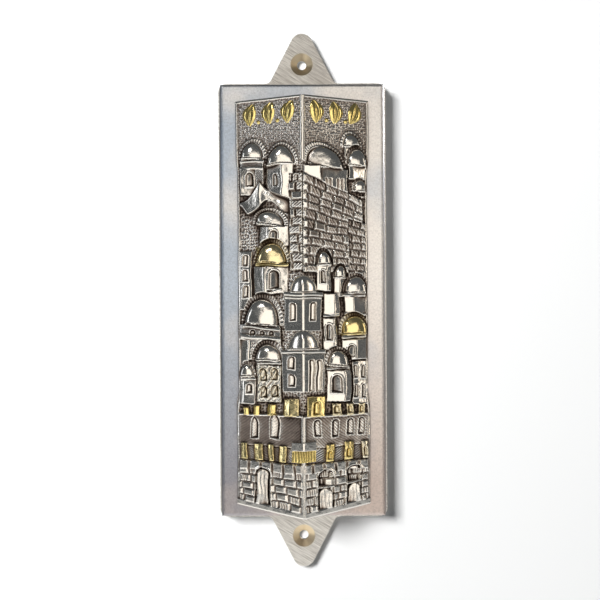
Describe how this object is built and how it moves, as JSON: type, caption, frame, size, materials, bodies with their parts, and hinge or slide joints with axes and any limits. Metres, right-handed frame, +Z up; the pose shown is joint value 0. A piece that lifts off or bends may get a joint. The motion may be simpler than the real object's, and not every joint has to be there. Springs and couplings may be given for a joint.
{
  "type": "mezuzah case",
  "caption": "Upright wall case with screw ears, a drafted frame and a gabled city relief, and a rear door that slides up to let in a rolled parchment.",
  "frame": {"origin": "on the wall plane, half way between the two wall screws", "axes": "+Z up the doorpost, +X to the right seen from the front, +Y into the wall"},
  "size_m": [0.047, 0.0204, 0.15],
  "materials": {
    "silver": "brushed, satin silver",
    "chased_silver": "chased silver, darkened in the hollows",
    "gilt": "gilded silver",
    "inner_metal": "plain, as rolled",
    "parchment": "matte skin",
    "wrapper": "thin, matte"
  },
  "bodies": {
    "case": {"back_plate": "silver", "front_frame": "silver", "left_relief": "chased_silver", "right_relief": "chased_silver", "ridge_bead": "silver", "upper_tower": "chased_silver", "lower_tower": "chased_silver", "corner_turret": "gilt", "top_end_plate": "inner_metal", "base_end_plate": "inner_metal", "left_rail": "inner_metal", "right_rail": "inner_metal", "door_stop": "inner_metal", "parchment_scroll": "parchment", "scroll_wrap": "wrapper", "case_screws": "inner_metal"},
    "door": {"scroll_door": "silver"}
  },
  "joints": [
    {"name": "door_slide", "type": "slide", "parent": "case", "child": "door", "axis": [0, 0, 1], "range_m": [0, 0.106]}
  ]
}
